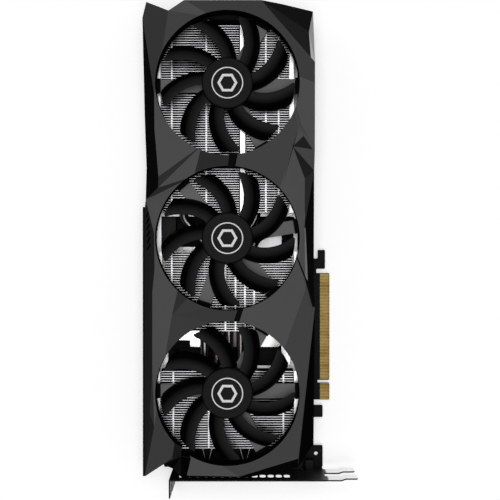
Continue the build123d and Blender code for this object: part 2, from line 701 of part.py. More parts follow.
SUBSTRATE_T = 1.4
memory_spots = [(11.2, GPU_Y - 8), (11.2, GPU_Y + 8), (-39.2, GPU_Y - 8), (-39.2, GPU_Y + 8)]
memory_spots += [(GPU_X - 8, -8.2), (GPU_X + 8, -8.2), (GPU_X - 8, -58.4), (GPU_X + 8, -58.4)]
MEMORY_T = 1.2
STAGE_X, CHOKE_X, CAPACITOR_X = 24.0, 32.5, 39.0
CAPACITOR_ROW_Y = -116.0
stage_ys = [-22.0 - 10 * i for i in range(6)]
stage_middle_y = (stage_ys[0] + stage_ys[-1]) / 2
stage_spots = [(STAGE_X, y) for y in stage_ys]
choke_spots = [(CHOKE_X, y) for y in stage_ys]
capacitor_spots = [(CAPACITOR_X, y) for y in stage_ys]
capacitor_spots += [(x, CAPACITOR_ROW_Y) for x in (-40, -30, -20, -10)]
STAGE_T = 0.9
BAR_Z = 6.4
BAR_W, BAR_L = 6.0, 60.0
CHOKE_W, CHOKE_H = 7.0, 4.2
CAPACITOR_R, CAPACITOR_H = 2.5, 4.8

write(board_blocks([(GPU_X, GPU_Y)], 36.0, 36.0, pcb_top, SUBSTRATE_T), "gpu_substrate")
write(board_blocks([(GPU_X, GPU_Y)], 21.0, 15.5, pcb_top + SUBSTRATE_T, DIE_TOP - pcb_top - SUBSTRATE_T),
      "gpu_die")
write(board_blocks(memory_spots, 12.0, 12.0, pcb_top, MEMORY_T), "memory_chips")
write(board_blocks(stage_spots, 5.0, 6.0, pcb_top, STAGE_T), "power_stages")

with BuildPart() as thermal_pads:
    with BuildSketch(Plane.XY.offset(pcb_top + MEMORY_T)):
        with Locations(*memory_spots):
            Rectangle(11.0, 11.0)
    extrude(amount=DIE_TOP - pcb_top - MEMORY_T)
    with BuildSketch(Plane((STAGE_X, stage_middle_y, pcb_top + STAGE_T))):
        Rectangle(BAR_W - 1.4, BAR_L - 2)
    extrude(amount=BAR_Z - pcb_top - STAGE_T)
write(thermal_pads, "thermal_pads")

with BuildPart() as power_stage_bar:
    with BuildSketch(Plane((STAGE_X, stage_middle_y, BAR_Z))):
        Rectangle(BAR_W, BAR_L)
    extrude(amount=frame_bottom - BAR_Z)
    chamfer(edges().filter_by(Axis.Z), 0.6)
write(power_stage_bar, "power_stage_bar")

with BuildPart() as chokes:
    with BuildSketch(Plane.XY.offset(pcb_top)):
        with Locations(*choke_spots):
            RectangleRounded(CHOKE_W, CHOKE_W, 0.8)
    extrude(amount=CHOKE_H)
    chamfer(faces().group_by(Axis.Z)[-1].edges(), 0.4)
write(chokes, "chokes")

with BuildPart() as capacitors:
    with BuildSketch(Plane.XY.offset(pcb_top)):
        with Locations(*capacitor_spots):
            Circle(CAPACITOR_R)
    extrude(amount=CAPACITOR_H)
    fillet(faces().group_by(Axis.Z)[-1].edges(), 0.4)
write(capacitors, "capacitors")

HEADER_SIZE = (4.0, 8.0, 4.0)
HEADER_HOLLOW = (2.4, 6.6, 4.0)
HEADER_FLOOR = 1.2
with BuildPart() as fan_headers:
    for x, y in ((-50.0, -92.0), (-50.0, -104.0), (-50.0, -72.0)):
        with Locations((x, y, pcb_top)):
            Box(*HEADER_SIZE, align=MIN_Z)
        with Locations((x, y, pcb_top + HEADER_FLOOR)):
            Box(*HEADER_HOLLOW, align=MIN_Z, mode=Mode.SUBTRACT)
write(fan_headers, "fan_headers")

# ---- supply socket and display sockets --------------------------------------------------------
SUPPLY_Y = 12.4
SUPPLY_MOUTH_X = -63.2
SUPPLY_W, SUPPLY_H, SUPPLY_D = 18.6, 10.0, 14.0
WALL = 0.8
SUPPLY_BACK = 2.0

supply_low = (SUPPLY_MOUTH_X, SUPPLY_Y - SUPPLY_W / 2, pcb_top)
supply_high = (SUPPLY_MOUTH_X + SUPPLY_D, SUPPLY_Y + SUPPLY_W / 2, pcb_top + SUPPLY_H)
with BuildPart() as supply_socket:
    add(block(supply_low, supply_high))
    add(
        block(
            (SUPPLY_MOUTH_X - 1, supply_low[1] + WALL, pcb_top + WALL),
            (supply_high[0] - SUPPLY_BACK, supply_high[1] - WALL, supply_high[2] - WALL),
        ),
        mode=Mode.SUBTRACT,
    )
write(supply_socket, "supply_socket")

PIN_PITCH = 4.2
PIN_W, PIN_L = 1.1, 6.5
pin_places = [(0, i * PIN_PITCH, j * PIN_PITCH) for i in (-1.5, -0.5, 0.5, 1.5) for j in (-0.5, 0.5)]
with BuildPart() as supply_pins:
    with Locations((supply_high[0] - SUPPLY_BACK, SUPPLY_Y, pcb_top + SUPPLY_H / 2)):
        with Locations(*pin_places):
            Box(PIN_L, PIN_W, PIN_W, align=(Align.MAX, Align.CENTER, Align.CENTER))
write(supply_pins, "supply_pins")

SOCKET_H = 6.6
SOCKET_D = 15.0
SOCKET_WALL = 0.6
socket_kinds = [(-34.0, 16.8), (-13.7, 16.8), (6.6, 16.8), (27.0, 15.4)]


def socket_shell(x, width):
    """Metal display socket: a box open towards the bracket."""
    left, right = x - width / 2, x + width / 2
    back, top = BRACKET_Y + SOCKET_D, pcb_top + SOCKET_H
    hollow_low = (left + SOCKET_WALL, BRACKET_Y - 1, pcb_top + SOCKET_WALL)
    hollow_high = (right - SOCKET_WALL, back - 1, top - SOCKET_WALL)
    with BuildPart() as made:
        add(block((left, BRACKET_Y, pcb_top), (right, back, top)))
        add(block(hollow_low, hollow_high), mode=Mode.SUBTRACT)
    return made.part


with BuildPart() as display_ports:
    add([socket_shell(x, width) for x, width in socket_kinds[:3]])
write(display_ports, "display_ports")

with BuildPart() as hdmi_port:
    add(socket_shell(*socket_kinds[3]))
write(hdmi_port, "hdmi_port")

TONGUE_SETBACK = 6.0
TONGUE_MARGIN = 2.2
TONGUE_Z = (pcb_top + 2.6, pcb_top + 3.9)
with BuildPart() as socket_tongues:
    for x, width in socket_kinds:
        add(
            block(
                (x - width / 2 + TONGUE_MARGIN, BRACKET_Y + TONGUE_SETBACK, TONGUE_Z[0]),
                (x + width / 2 - TONGUE_MARGIN, BRACKET_Y + SOCKET_D - 1, TONGUE_Z[1]),
            )
        )
write(socket_tongues, "socket_tongues")

# ---- slot bracket -----------------------------------------------------------------------------
FLANGE_X = -51.6
PLATE_END = 48.5
BRACKET_LOW, BRACKET_HIGH = 0.6, 39.3
TONGUE_TIP = 68.8
FLANGE_END = -157.8
NOTCH_R = 2.2
SIDE_NOTCH_Z, END_NOTCH_Z = 5.0, 25.3
LUG_Z = 8.4
LUG_W, LUG_D, LUG_RISE = 5.0, 6.0, 3.3
LUG_HOLE_R = 1.1
SLOT_COUNT = 14
SLOT_PITCH = 5.2
SLOT_LAST_X = 23.8
SLOT_Z = 27.6
SLOT_L, SLOT_W = 9.8, 3.9
TONGUE_H = 10.2
lug_xs = (-45.5, 39.5)
notch_y = (FLANGE_END + BRACKET_Y) / 2
bracket_in = BRACKET_Y + BRACKET_T
plate_mid_y = BRACKET_Y + BRACKET_T / 2

with BuildPart() as io_bracket:
    add(block((FLANGE_X, BRACKET_Y, BRACKET_LOW), (PLATE_END, bracket_in, BRACKET_HIGH)))
    for low_z in (10.6, 28.9):
        with BuildSketch(Plane.XY.offset(low_z)):
            with BuildLine():
                Polyline(
                    (PLATE_END - 3, plate_mid_y),
                    (58.0, plate_mid_y),
                    (61.0, plate_mid_y + 1.0),
                    (TONGUE_TIP, plate_mid_y + 1.0),
                )
            trace(line_width=BRACKET_T)
        extrude(amount=TONGUE_H)
    add(block((FLANGE_X, FLANGE_END, BRACKET_LOW), (FLANGE_X + BRACKET_T, bracket_in, BRACKET_HIGH)))
    with BuildSketch(Plane.YZ.offset(FLANGE_X - 1)):
        with Locations((notch_y, SIDE_NOTCH_Z), (notch_y, END_NOTCH_Z)):
            Circle(NOTCH_R)
        with Locations((notch_y, SIDE_NOTCH_Z - 5)):
            Rectangle(2 * NOTCH_R, 10)
        with Locations((notch_y - 5, END_NOTCH_Z)):
            Rectangle(10, 2 * NOTCH_R)
    extrude(amount=4, mode=Mode.SUBTRACT)
    with BuildSketch(Plane.XZ.offset(-BRACKET_Y + 1)):
        for x, width in socket_kinds:
            with Locations((x, pcb_top + SOCKET_H / 2)):
                Rectangle(width + 0.4, SOCKET_H + 0.4)
        with Locations(*[(SLOT_LAST_X - i * SLOT_PITCH, SLOT_Z) for i in range(SLOT_COUNT)]):
            SlotOverall(SLOT_L, SLOT_W, rotation=90)
        with Locations(*[(x, LUG_Z) for x in lug_xs]):
            Circle(LUG_HOLE_R)
    extrude(amount=-4, mode=Mode.SUBTRACT)
    fillet(edges().filter_by(Axis.Y).group_by(Axis.X)[-1], 2.0)
write(io_bracket, "io_bracket")

with BuildPart() as bracket_lugs:
    for x in lug_xs:
        lug_low = (x - LUG_W / 2, bracket_in, pcb_top)
        add(block(lug_low, (x + LUG_W / 2, bracket_in + LUG_D, LUG_Z + LUG_RISE)))
    with BuildSketch(Plane.XZ.offset(-bracket_in + 1)):
        with Locations(*[(x, LUG_Z) for x in lug_xs]):
            Circle(LUG_HOLE_R)
    extrude(amount=-8, mode=Mode.SUBTRACT)
write(bracket_lugs, "bracket_lugs")

with BuildPart() as bracket_screws:
    with BuildSketch(Plane.XZ.offset(-BRACKET_Y + 1.2)):
        with Locations(*[(x, LUG_Z) for x in lug_xs]):
            Circle(2.2)
    extrude(amount=-1.2)
    with BuildSketch(Plane.XZ.offset(-BRACKET_Y)):
        with Locations(*[(x, LUG_Z) for x in lug_xs]):
            Circle(1.0)
    extrude(amount=-6.0)
write(bracket_screws, "bracket_screws")

# ---- backplate, rear retention bracket and their screws ---------------------------------------
cooler_holes = [(GPU_X + i * HOLE_SPAN / 2, GPU_Y + j * HOLE_SPAN / 2) for i in (-1, 1) for j in (-1, 1)]
plate_screw_spots = board_posts + tail_posts
SCREW_SINK = 1.1
PLATE_SLOT = (26.0, 5.0)
PLATE_SLOT_ROWS = 8
PLATE_SLOT_PITCH = 12.0
BRACKET_ARM_W = 9.0
SPRING_T = 1.2

with BuildPart() as backplate:
    with BuildSketch():
        Polygon(
            (-66.0, -144.5), (40.5, -144.5), (40.5, 118.0), (38.0, 151.8), (20.0, 155.6),
            (7.0, 156.6), (-41.0, 156.6), (-51.0, 149.0), (-64.5, 153.0), (-66.0, 146.0), align=None,
        )
        for row in range(PLATE_SLOT_ROWS):
            with Locations(*[(x, 44.0 + row * PLATE_SLOT_PITCH) for x in (-37.0, -4.0)]):
                SlotOverall(*PLATE_SLOT, rotation=20, mode=Mode.SUBTRACT)
        with Locations(*cooler_holes):
            Circle(3.4, mode=Mode.SUBTRACT)
        with Locations(*plate_screw_spots):
            Circle(1.1, mode=Mode.SUBTRACT)
    extrude(amount=BACKPLATE_T)
    with BuildSketch():
        with Locations(*plate_screw_spots):
            Circle(2.2)
    extrude(amount=SCREW_SINK, mode=Mode.SUBTRACT)
write(backplate, "backplate")

with BuildPart() as rear_bracket:
    with BuildSketch(Plane.XY.offset(BACKPLATE_T + 0.1)):
        for turn in (45, -45):
            with Locations((GPU_X, GPU_Y)):
                Rectangle(HOLE_SPAN * 2 ** 0.5, BRACKET_ARM_W, rotation=turn)
        with Locations(*cooler_holes):
            Circle(BRACKET_ARM_W / 2)
            Circle(1.4, mode=Mode.SUBTRACT)
    extrude(amount=SPRING_T)
write(rear_bracket, "rear_bracket")


def screws(spots, head_z, head_t, head_r, shank_top, shank_r):
    """Group of screws that point up, their heads towards the floor."""
    with BuildPart() as made:
        for x, y in spots:
            with Locations((x, y, head_z)):
                Cylinder(head_r, head_t, align=MIN_Z)
            with Locations((x, y, head_z + head_t)):
                Cylinder(shank_r, shank_top - head_z - head_t, align=MIN_Z)
    return made.part


with BuildPart() as cooler_screws:
    add(screws(cooler_holes, 0.1, 1.5, 2.8, 8.0, 1.2))
write(cooler_screws, "cooler_screws")

with BuildPart() as backplate_screws:
    add(screws(board_posts, 0.1, SCREW_SINK - 0.1, 2.0, pcb_top, 0.95))
    add(screws(tail_posts, 0.1, SCREW_SINK - 0.1, 2.0, frame_bottom, 0.95))
write(backplate_screws, "backplate_screws")
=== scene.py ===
import math

import bmesh
import bpy
from mathutils import Matrix, Vector
from mathutils.bvhtree import BVHTree


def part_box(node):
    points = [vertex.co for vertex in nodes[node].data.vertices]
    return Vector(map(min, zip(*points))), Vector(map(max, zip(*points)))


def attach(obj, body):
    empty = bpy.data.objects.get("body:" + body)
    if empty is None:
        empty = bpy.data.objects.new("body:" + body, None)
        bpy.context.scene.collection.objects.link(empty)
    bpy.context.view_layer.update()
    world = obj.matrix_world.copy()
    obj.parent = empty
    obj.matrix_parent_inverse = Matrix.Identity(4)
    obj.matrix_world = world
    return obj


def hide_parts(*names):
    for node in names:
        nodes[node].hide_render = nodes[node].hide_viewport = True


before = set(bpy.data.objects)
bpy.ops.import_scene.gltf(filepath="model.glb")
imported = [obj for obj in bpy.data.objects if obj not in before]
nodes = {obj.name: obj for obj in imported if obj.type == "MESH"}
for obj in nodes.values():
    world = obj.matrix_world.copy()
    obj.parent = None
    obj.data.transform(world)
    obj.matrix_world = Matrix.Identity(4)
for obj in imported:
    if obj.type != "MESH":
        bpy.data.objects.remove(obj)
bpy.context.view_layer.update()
MM = 0.001

# ---- places, all read from the CAD frame ----------------------------------------------------
FANS = (1, 2, 3)


def middle(node):
    """Centre of a CAD node's box."""
    low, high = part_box(node)
    return (low + high) / 2


cap_low, cap_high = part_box("fan_1_hub_cap")
CAP_INSET = 0.9 * MM
HUB_R = (cap_high.x - cap_low.x) / 2 + CAP_INSET
CUP_TOP = cap_low.z
CAP_TOP = cap_high.z
ROTOR_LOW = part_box("fan_1_rotor")[0].z
TIP_R = 42.9 * MM
OPENING_R = 45.7 * MM
FRAME_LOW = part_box("fan_1_frame")[0].z
FRAME_TOP = FRAME_LOW + 2.0 * MM
# Direction of each fan's first arm, and of its other arms and its wider cable arm from there, in degrees.
ARM_TURNS = {1: 180, 2: 130, 3: 180}
ARM_STEPS, CABLE_ARM_STEP = (0, 120, 240), 180
PIPE_R = 3.0 * MM
FIN_PITCH = 1.55 * MM
STACKS = ("fin_stack_tail", "fin_stack_middle", "fin_stack_io")

# ---- camera, light and floor ------------------------------------------------------------------
CAMERA_HEIGHT = 0.605
LENS, SENSOR = 64.2, 36.0
# Softboxes: place and sides in metres, and radiance.
SOFTBOXES = {
    "key": ((0, 0, 1.5), (0.7, 1.3), 3.6),
    "side": ((1.5, -1.1, 0.7), (0.5, 0.5), 0.8),
    "back": ((-1.5, 1.1, 0.7), (0.5, 0.5), 0.8),
}
SURROUND_STRENGTH = 0.20
FLOOR_SIDE, FLOOR_Z = 12, -0.0002


def make_camera():
    """Camera straight over the card, looking down, with the tail at the top of the picture."""
    data = bpy.data.cameras.new("camera")
    data.lens = LENS
    data.sensor_width = SENSOR
    data.clip_start = 0.01
    camera = bpy.data.objects.new("camera", data)
    camera.location = (0, 0, CAMERA_HEIGHT)
    bpy.context.scene.collection.objects.link(camera)
    bpy.context.scene.camera = camera


def soft_light(name, spot, sides, radiance):
    """Rectangular softbox at spot that looks at the card's middle."""
    data = bpy.data.lights.new(name, "AREA")
    data.shape = "RECTANGLE"
    data.size, data.size_y = sides
    data.energy = radiance * sides[0] * sides[1] * math.pi
    light = bpy.data.objects.new(name, data)
    light.location = spot
    light.rotation_euler = (-Vector(spot)).to_track_quat("-Z", "Y").to_euler()
    bpy.context.scene.collection.objects.link(light)


def make_studio():
    """Plain pale floor, pale surroundings and soft lights."""
    world = bpy.data.worlds.new("studio")
    world.use_nodes = True
    background = world.node_tree.nodes["Background"]
    background.inputs["Color"].default_value = (1.0, 1.0, 1.0, 1.0)
    background.inputs["Strength"].default_value = SURROUND_STRENGTH
    bpy.context.scene.world = world
    for name, (spot, sides, radiance) in SOFTBOXES.items():
        soft_light(name, spot, sides, radiance)
    bpy.ops.mesh.primitive_plane_add(size=FLOOR_SIDE, location=(0, 0, FLOOR_Z))
    floor = bpy.context.object
    floor.name = "floor"
    floor.data.materials.append(floor_material())


# ---- materials --------------------------------------------------------------------------------
SHROUD_LIGHT = 0.108
# Noise scales, per metre: spark-eroded grain, fine grain of metal and of gloss, slow clouds of tone.
SPARK_SCALE, FINE_SCALE, CLOUD_SCALE = 2600.0, 900.0, 35.0
# Fins: half widths of the painted glow beside a pipe on their faces, drops below the top edge,
# and the tab's share of a pitch.
PAINTED_PIPE_GLOW = (2.4 * MM, 4.2 * MM)
EDGE_DROPS = (0.5 * MM, 0.2 * MM)
TAB_SHARES = (0.45, 0.6)
# Cold plate: half width of the painted shade across its middle, which stays dark past the middle fins' edge
# too.
COLD_HALF = 20.0 * MM


class Shader:
    """Small helper that builds one procedural material around a Principled BSDF."""

    def __init__(self, name):
        self.material = bpy.data.materials.new(name)
        self.material.use_nodes = True
        self.tree = self.material.node_tree
        self.surface = self.tree.nodes["Principled BSDF"]
        self.coords = self.tree.nodes.new("ShaderNodeTexCoord").outputs["Object"]

    def node(self, kind, inputs=(), **settings):
        made = self.tree.nodes.new(kind)
        for key, value in settings.items():
            setattr(made, key, value)
        for key, value in dict(inputs).items():
            if isinstance(value, bpy.types.NodeSocket):
                self.tree.links.new(value, made.inputs[key])
            else:
                made.inputs[key].default_value = value
        return made

    def noise(self, scale, detail=3.0, roughness=0.55, stretch=(1, 1, 1)):
        spread = self.node("ShaderNodeMapping", {"Vector": self.coords, "Scale": stretch})
        settings = {"Vector": spread.outputs[0], "Scale": scale, "Detail": detail, "Roughness": roughness}
        return self.node("ShaderNodeTexNoise", settings).outputs["Fac"]

    def upness(self):
        """How far a face looks up: 1 for a level face, 0 for a wall."""
        normal = self.node("ShaderNodeNewGeometry").outputs["Normal"]
        return self.node("ShaderNodeSeparateXYZ", {"Vector": normal}).outputs["Z"]

    def axes(self):
        """X, Y and Z of a point in the card's own frame, in metres."""
        parts = self.node("ShaderNodeSeparateXYZ", {"Vector": self.coords}).outputs
        return parts["X"], parts["Y"], parts["Z"]

    def math(self, operation, first, second=0.0):
        made = self.node("ShaderNodeMath", {0: first, 1: second}, operation=operation)
        return made.outputs[0]

    def band(self, value, low, high, out_low, out_high):
        """Maps a value from one range to another, clamped."""
        inputs = {"Value": value, "From Min": low, "From Max": high, "To Min": out_low, "To Max": out_high}
        return self.node("ShaderNodeMapRange", inputs).outputs["Result"]

    def spread(self, value, out_low, out_high):
        """Maps the range where most of a noise lies to another range."""
        return self.band(value, 0.3, 0.7, out_low, out_high)

    def mix(self, factor, first, second):
        made = self.node("ShaderNodeMix", data_type="RGBA")
        self.tree.links.new(factor, made.inputs["Factor"])
        for socket, value in ((made.inputs[6], first), (made.inputs[7], second)):
            if isinstance(value, bpy.types.NodeSocket):
                self.tree.links.new(value, socket)
            else:
                socket.default_value = (*value, 1.0)
        return made.outputs[2]

    def set(self, **sockets):
        for key, value in sockets.items():
            socket = self.surface.inputs[key.replace("_", " ")]
            if isinstance(value, bpy.types.NodeSocket):
                self.tree.links.new(value, socket)
            elif isinstance(value, tuple):
                socket.default_value = (*value, 1.0)
            else:
                socket.default_value = value
        return self

    def bump(self, height, strength, distance):
        inputs = {"Height": height, "Strength": strength, "Distance": distance}
        made = self.node("ShaderNodeBump", inputs)
        self.tree.links.new(made.outputs["Normal"], self.surface.inputs["Normal"])
        return self


def floor_material():
    """Pale studio paper."""
    shader = Shader("floor")
    tone = shader.mix(shader.noise(3.0), (0.93, 0.93, 0.93), (0.96, 0.96, 0.96))
    shader.set(Base_Color=tone, Roughness=0.9, Emission_Color=(1.0, 1.0, 1.0), Emission_Strength=0.45)
    return shader.material


def moulded_plastic(name, color, roughness=0.4, grain=0.00003, specular=0.2, walls=1.0):
    """Matte moulding: fine spark-eroded grain, with slow changes of tone and gloss.

    Painted shade: steep walls take the share walls of the colour; a share over 1 paints them lighter.
    """
    shader = Shader(name)
    cloud = shader.noise(CLOUD_SCALE, 4.0)
    darker = tuple(0.92 * c for c in color)
    lighter = tuple(1.08 * c for c in color)
    tone = shader.mix(shader.spread(cloud, 0.0, 1.0), darker, lighter)
    if walls != 1.0:
        painted_wall_shade = tuple(walls * c for c in color)
        tone = shader.mix(shader.band(shader.upness(), 0.76, 0.995, 0.0, 1.0), painted_wall_shade, tone)
    shader.set(
        Base_Color=tone,
        Roughness=shader.spread(shader.noise(FINE_SCALE, 2.0), roughness - 0.05, roughness + 0.05),
    )
    shader.surface.inputs["Specular IOR Level"].default_value = specular
    shader.bump(shader.noise(SPARK_SCALE, 2.0), 0.3, grain)
    return shader.material


def shroud_plastic():
    """Matte moulding whose facets carry painted shade and painted highlights in their tone, with spark-eroded
    grain, slow clouds of tone and fine changes of gloss.
    """
    shader = Shader("shroud_plastic")
    # The face attribute tone carries each facet's painted shade, and painted highlights on two glints.
    tone = shader.node("ShaderNodeAttribute", attribute_name="tone").outputs["Fac"]
    cloud = shader.spread(shader.noise(CLOUD_SCALE, 4.0), 0.98, 1.02)
    share = shader.math("MULTIPLY", shader.math("MULTIPLY", tone, cloud), SHROUD_LIGHT)
    shader.set(
        Base_Color=shader.node("ShaderNodeCombineXYZ", {"X": share, "Y": share, "Z": share}).outputs[0],
        Roughness=shader.spread(shader.noise(FINE_SCALE, 2.0), 0.5, 0.6),
    )
    shader.surface.inputs["Specular IOR Level"].default_value = 0.0
    shader.bump(shader.noise(SPARK_SCALE, 2.0), 0.3, 0.00003)
    return shader.material


def bare_metal(name, color, roughness=0.3, streak=(1, 1, 1), scratch=0.00002):
    """Bare or plated metal with faint rolling streaks along one direction."""
    shader = Shader(name)
    grain = shader.noise(FINE_SCALE, 5.0, stretch=streak)
    darker = tuple(0.85 * c for c in color)
    shader.set(
        Base_Color=shader.mix(shader.spread(grain, 0.0, 1.0), darker, color),
        Metallic=1.0,
        Roughness=shader.spread(grain, roughness - 0.06, roughness + 0.08),
    )
    shader.bump(grain, 0.3, scratch)
    return shader.material


def pipe_xs(end):
    """X of each round pipe: end 0 over the chip, end 1 under the tail fan."""
    places = []
    for number in (1, 2, 3, 4, 5):
        low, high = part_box(f"heat_pipe_{number}")
        ends = (high.x - PIPE_R, low.x + PIPE_R) if number < 4 else (low.x + PIPE_R, high.x - PIPE_R)
        places.append(ends[end])
    return places


def fins_with_painted_shade(stack, end):
    """Aluminium fins: faces painted near black as shade, a painted glow by each pipe, cut top edges that
    catch light, bright folded tabs.
    """
    low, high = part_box(stack)
    shader = Shader(f"{stack}_aluminium")
    x, y, z = shader.axes()
    grain = shader.noise(FINE_SCALE, 4.0, stretch=(0.05, 1, 1))
    # Painted shade: the fin faces are near black, and bands beside each pipe get a painted glow.
    faces = shader.mix(grain, (0.002, 0.002, 0.002), (0.006, 0.006, 0.006))
    for place in pipe_xs(end):
        away = shader.math("ABSOLUTE", shader.math("SUBTRACT", x, place))
        faces = shader.mix(shader.band(away, *PAINTED_PIPE_GLOW, 1.0, 0.0), faces, (0.15, 0.135, 0.13))
    edges = shader.mix(grain, (0.34, 0.34, 0.35), (0.52, 0.52, 0.53))
    step = shader.math("FRACT", shader.math("DIVIDE", shader.math("SUBTRACT", y, low.y), FIN_PITCH))
    tabs = shader.mix(shader.band(step, *TAB_SHARES, 0.0, 1.0), (0.92, 0.92, 0.93), (0.22, 0.22, 0.23))
    level = shader.band(shader.upness(), 0.3, 0.7, 0.0, 1.0)
    below_edge = shader.band(z, high.z - EDGE_DROPS[0], high.z - EDGE_DROPS[1], 1.0, 0.0)
    tops = shader.mix(below_edge, edges, tabs)
    shader.set(
        Base_Color=shader.mix(level, faces, tops),
        Metallic=level,
        Roughness=shader.spread(grain, 0.3, 0.45),
    )
    shader.surface.inputs["Specular IOR Level"].default_value = 0.0
    shader.bump(grain, 0.15, 0.00001)
    return shader.material


def cooler_frame_finish():
    """Bright rolled sheet, painted dark as shade where the fins stand on it."""
    shader = Shader("cooler_frame_sheet")
    x, y = shader.axes()[:2]
    grain = shader.noise(FINE_SCALE, 5.0, stretch=(1, 0.05, 1))
    # The frame under the fin stacks gets painted shade.
    under = None
    for stack in STACKS:
        low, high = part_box(stack)
        inside = [
            shader.math("GREATER_THAN", x, low.x), shader.math("LESS_THAN", x, high.x),
            shader.math("GREATER_THAN", y, low.y), shader.math("LESS_THAN", y, high.y),
        ]
        share = inside[0]
        for test in inside[1:]:
            share = shader.math("MULTIPLY", share, test)
        under = share if under is None else shader.math("MAXIMUM", under, share)
    bright = shader.mix(grain, (0.80, 0.80, 0.81), (0.95, 0.95, 0.96))
    painted_shade_tone = shader.mix(grain, (0.010, 0.010, 0.011), (0.018, 0.018, 0.019))
    shader.set(
        Base_Color=shader.mix(under, bright, painted_shade_tone), Metallic=1.0,
        Roughness=shader.spread(grain, 0.38, 0.5),
    )
    shader.bump(grain, 0.2, 0.00001)
    return shader.material


def cold_plate_finish():
    """Nickel plate with painted shade under the fins and across its middle, bright past the fins' edge beside
    that.
    """
    shader = Shader("cold_plate_nickel")
    x, y = shader.axes()[:2]
    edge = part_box("fin_stack_middle")[0].y
    centre = middle("cold_plate").x
    grain = shader.noise(FINE_SCALE, 5.0, stretch=(1, 0.05, 1))
    painted_shade_tone = shader.mix(grain, (0.035, 0.030, 0.030), (0.06, 0.052, 0.050))
    bright = shader.mix(grain, (0.74, 0.73, 0.72), (0.92, 0.91, 0.90))
    open_end = shader.band(y, edge - 0.4 * MM, edge + 0.4 * MM, 1.0, 0.0)
    blur = 0.5 * MM
    left = shader.band(x, centre - COLD_HALF - blur, centre - COLD_HALF + blur, 1.0, 0.0)
    right = shader.band(x, centre + COLD_HALF - blur, centre + COLD_HALF + blur, 0.0, 0.4)
    # Outside this share the cold plate gets painted shade.
    clear = shader.math("MAXIMUM", left, right)
    shader.set(
        Base_Color=shader.mix(shader.math("MULTIPLY", open_end, clear), painted_shade_tone, bright),
        Metallic=1.0, Roughness=shader.spread(grain, 0.2, 0.32),
    )
    shader.bump(grain, 0.2, 0.00001)
    return shader.material


def slot_bracket_finish():
    """Black coat on the plate and flange, bare steel on the faces of the two tongues."""
    shader = Shader("slot_bracket_finish")
    x = shader.axes()[0]
    plate_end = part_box("pcb")[1].x - 4.0 * MM
    cloud = shader.noise(300.0, 4.0)
    coat = shader.mix(cloud, (0.006, 0.006, 0.006), (0.011, 0.011, 0.011))
    steel = shader.mix(cloud, (0.80, 0.80, 0.80), (0.93, 0.93, 0.93))
    outside = shader.band(x, plate_end, plate_end + 1.0 * MM, 0.0, 1.0)
    wall = shader.band(shader.upness(), 0.2, 0.5, 1.0, 0.0)
    bare = shader.math("MULTIPLY", outside, wall)
    shader.set(
        Base_Color=shader.mix(bare, coat, steel),
        Metallic=bare,
        Roughness=shader.spread(cloud, 0.3, 0.45),
    )
    shader.surface.inputs["Specular IOR Level"].default_value = 0.1
    shader.bump(shader.noise(SPARK_SCALE, 2.0), 0.3, 0.00003)
    return shader.material


def circuit_board():
    """Black solder mask over copper tracks, with small vias."""
    shader = Shader("board_mask")
    tracks = shader.node(
        "ShaderNodeTexBrick",
        {
            "Vector": shader.coords, "Color1": (1, 1, 1, 1), "Color2": (0.7, 0.7, 0.7, 1),
            "Mortar": (0, 0, 0, 1), "Scale": 260.0, "Mortar Size": 0.018,
            "Brick Width": 1.6, "Row Height": 0.22,
        },
    )
    vias = shader.node("ShaderNodeTexVoronoi", {"Vector": shader.coords, "Scale": 420.0}, feature="F1")
    dots = shader.band(vias.outputs["Distance"], 0.10, 0.14, 1.0, 0.0)
    mask = shader.mix(tracks.outputs["Fac"], (0.009, 0.010, 0.009), (0.006, 0.007, 0.006))
    shader.set(Base_Color=shader.mix(dots, mask, (0.03, 0.028, 0.02)), Roughness=0.4)
    shader.surface.inputs["Specular IOR Level"].default_value = 0.03
    shader.bump(tracks.outputs["Fac"], 0.3, 0.00002)
    return shader.material


def gold_plating():
    """Gold flash over nickel: small differences of tone from contact to contact."""
    shader = Shader("gold")
    patches = shader.noise(160.0, 2.0, stretch=(0.3, 1.0, 1.0))
    tone = shader.mix(shader.band(patches, 0.35, 0.65, 0.0, 1.0), (0.10, 0.065, 0.018), (0.21, 0.15, 0.05))
    shader.set(Base_Color=tone, Metallic=1.0, Roughness=shader.spread(patches, 0.22, 0.38))
    shader.bump(shader.noise(1500.0, 3.0, stretch=(0.1, 1, 1)), 0.2, 0.00001)
    return shader.material


def printed_white():
    """White pad-printed ink with slightly uneven cover."""
    shader = Shader("print_white")
    cover = shader.spread(shader.noise(700.0, 3.0), 0.0, 1.0)
    shader.set(Base_Color=shader.mix(cover, (0.90, 0.90, 0.90), (0.97, 0.97, 0.97)), Roughness=0.5)
    return shader.material


